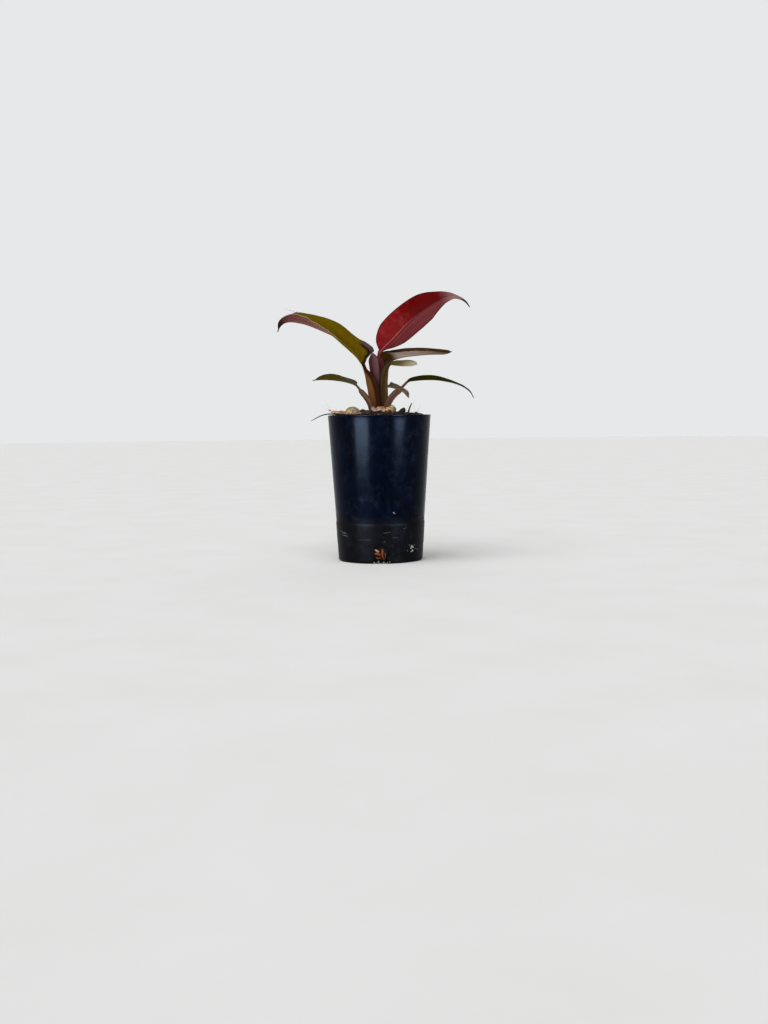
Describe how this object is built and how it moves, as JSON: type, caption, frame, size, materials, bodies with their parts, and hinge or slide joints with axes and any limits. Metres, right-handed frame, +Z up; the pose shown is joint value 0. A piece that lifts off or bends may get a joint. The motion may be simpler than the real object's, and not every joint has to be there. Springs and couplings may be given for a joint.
{
  "type": "potted philodendron",
  "caption": "Young red-leaved philodendron in a round black nursery pot: arching lance-shaped leaves on sheathed stalks above a bark mix, to stand on a flat surface.",
  "frame": {"origin": "centre of the pot's flat underside", "axes": "+Z up; the pot's axis is Z; the pictured front looks along -Y, with the red leaf leaning to +X"},
  "size_m": [0.1513, 0.0844, 0.206],
  "materials": {
    "pot_plastic": "glossy navy-black injection-moulded plastic with dust and scuffs",
    "potting_mix": "damp dark brown bark and coir mix",
    "crown_tissue": "swollen golden to copper stem tissue with dry scales",
    "red_leaf": "glossy deep red young leaf with a pink midrib",
    "olive_leaf": "satin olive-green leaf with a brown-red underside",
    "bronze_leaf": "satin bronze leaf with a greyish pink underside",
    "pale_leaf": "satin pale green leaf",
    "green_leaf": "satin dark green leaf with a brown-purple stalk",
    "grey_leaf": "satin grey-green small leaf",
    "sheath_tissue": "satin purple-grey sheath",
    "husk": "dry tan coir husk flakes",
    "scale_leaf": "dull olive curled scale leaf",
    "twig_wood": "dull brown twig",
    "grass": "dull dark green dry grass"
  },
  "bodies": {
    "root": {"nursery_pot": "pot_plastic", "potting_mix": "potting_mix", "stem_crown": "crown_tissue", "leaf_red_young": "red_leaf", "cataphyll": "sheath_tissue", "leaf_bronze_right": "bronze_leaf", "leaf_olive_left": "olive_leaf", "leaf_pale_back": "pale_leaf", "leaf_green_low_right": "green_leaf", "leaf_green_low_left": "green_leaf", "leaf_small_back": "grey_leaf", "fallen_scale": "scale_leaf", "grass_blade": "grass", "husk_chips": "husk", "twig": "twig_wood"}
  },
  "joints": []
}
